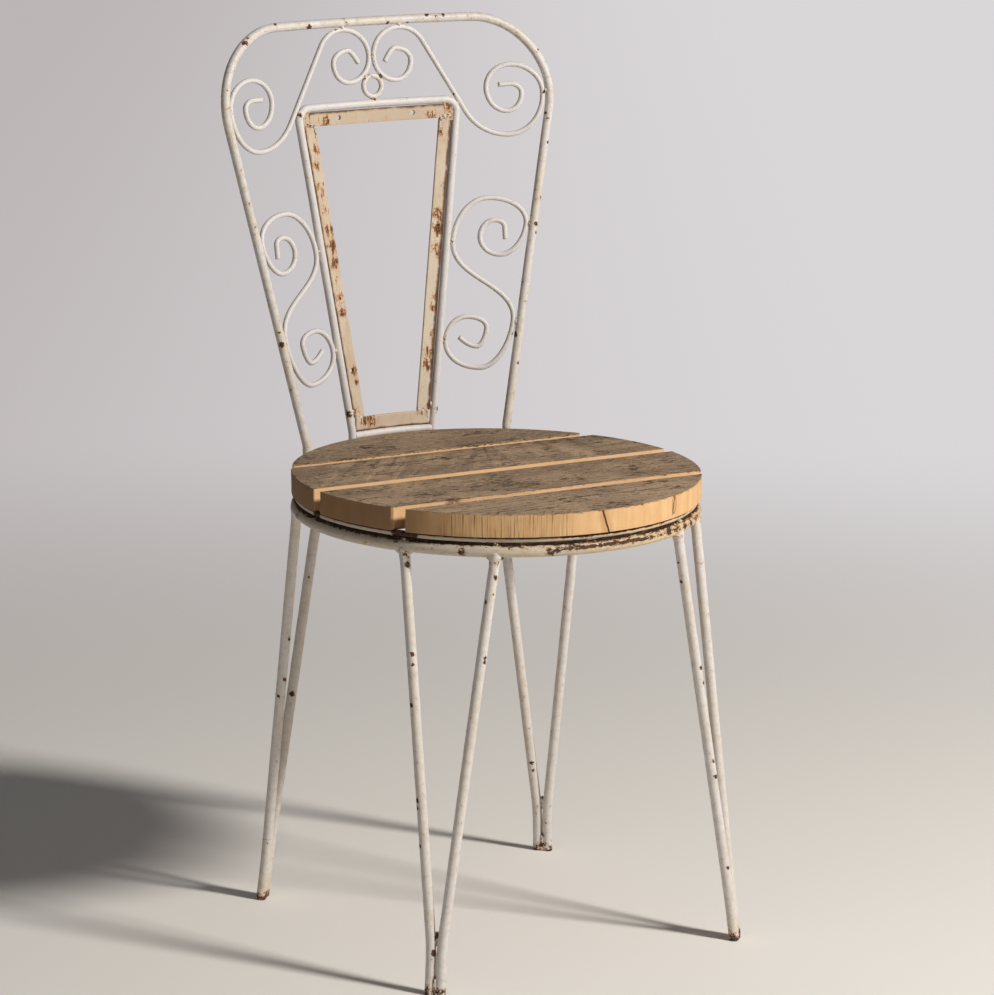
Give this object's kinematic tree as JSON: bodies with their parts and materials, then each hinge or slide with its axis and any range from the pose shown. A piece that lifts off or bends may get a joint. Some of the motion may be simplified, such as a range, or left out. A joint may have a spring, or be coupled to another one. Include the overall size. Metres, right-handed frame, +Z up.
{
  "type": "garden chair",
  "caption": "Worn garden chair of painted steel rod: bowed hoop back with scrolls and an empty panel frame, round slatted wooden seat, splayed double-rod legs.",
  "frame": {"origin": "on the floor, under the middle of the chair's outline", "axes": "+Z up, +Y towards the back of the chair, the sitter faces -Y"},
  "size_m": [0.4, 0.4556, 0.871],
  "materials": {
    "cream_paint": "cream gloss paint gone chalky, chipped to dark rust at joints and feet",
    "old_beige_paint": "thin beige paint streaked with orange-brown rust",
    "rusty_steel": "bare rusty weld metal, matt",
    "seat_wood": "weathered grey-brown pine, rough on top, fresh honey colour on the cut edges",
    "batten_wood": "plain sawn pine, dull",
    "screw_steel": "dull zinc gone brown"
  },
  "bodies": {
    "root": {"back_hoop": "cream_paint", "batten_left": "batten_wood", "batten_right": "batten_wood", "batten_screws": "screw_steel", "centre_ring": "cream_paint", "leg_back_left_a": "cream_paint", "leg_back_left_b": "cream_paint", "leg_back_right_a": "cream_paint", "leg_back_right_b": "cream_paint", "leg_front_left_a": "cream_paint", "leg_front_left_b": "cream_paint", "leg_front_right_a": "cream_paint", "leg_front_right_b": "cream_paint", "panel_bottom_rod": "cream_paint", "panel_hoop": "cream_paint", "panel_strip_bottom": "old_beige_paint", "panel_strip_left": "old_beige_paint", "panel_strip_right": "old_beige_paint", "panel_strip_top": "old_beige_paint", "rest_ring": "cream_paint", "ring_spacers": "cream_paint", "seat_board_back": "seat_wood", "seat_board_front": "seat_wood", "seat_board_mid_back": "seat_wood", "seat_board_mid_front": "seat_wood", "seat_ring": "cream_paint", "side_scroll_left": "cream_paint", "side_scroll_right": "cream_paint", "upper_scroll_left": "cream_paint", "upper_scroll_right": "cream_paint", "web_back_left": "rusty_steel", "web_back_right": "rusty_steel", "web_front_left": "rusty_steel", "web_front_right": "rusty_steel"}
  },
  "joints": []
}
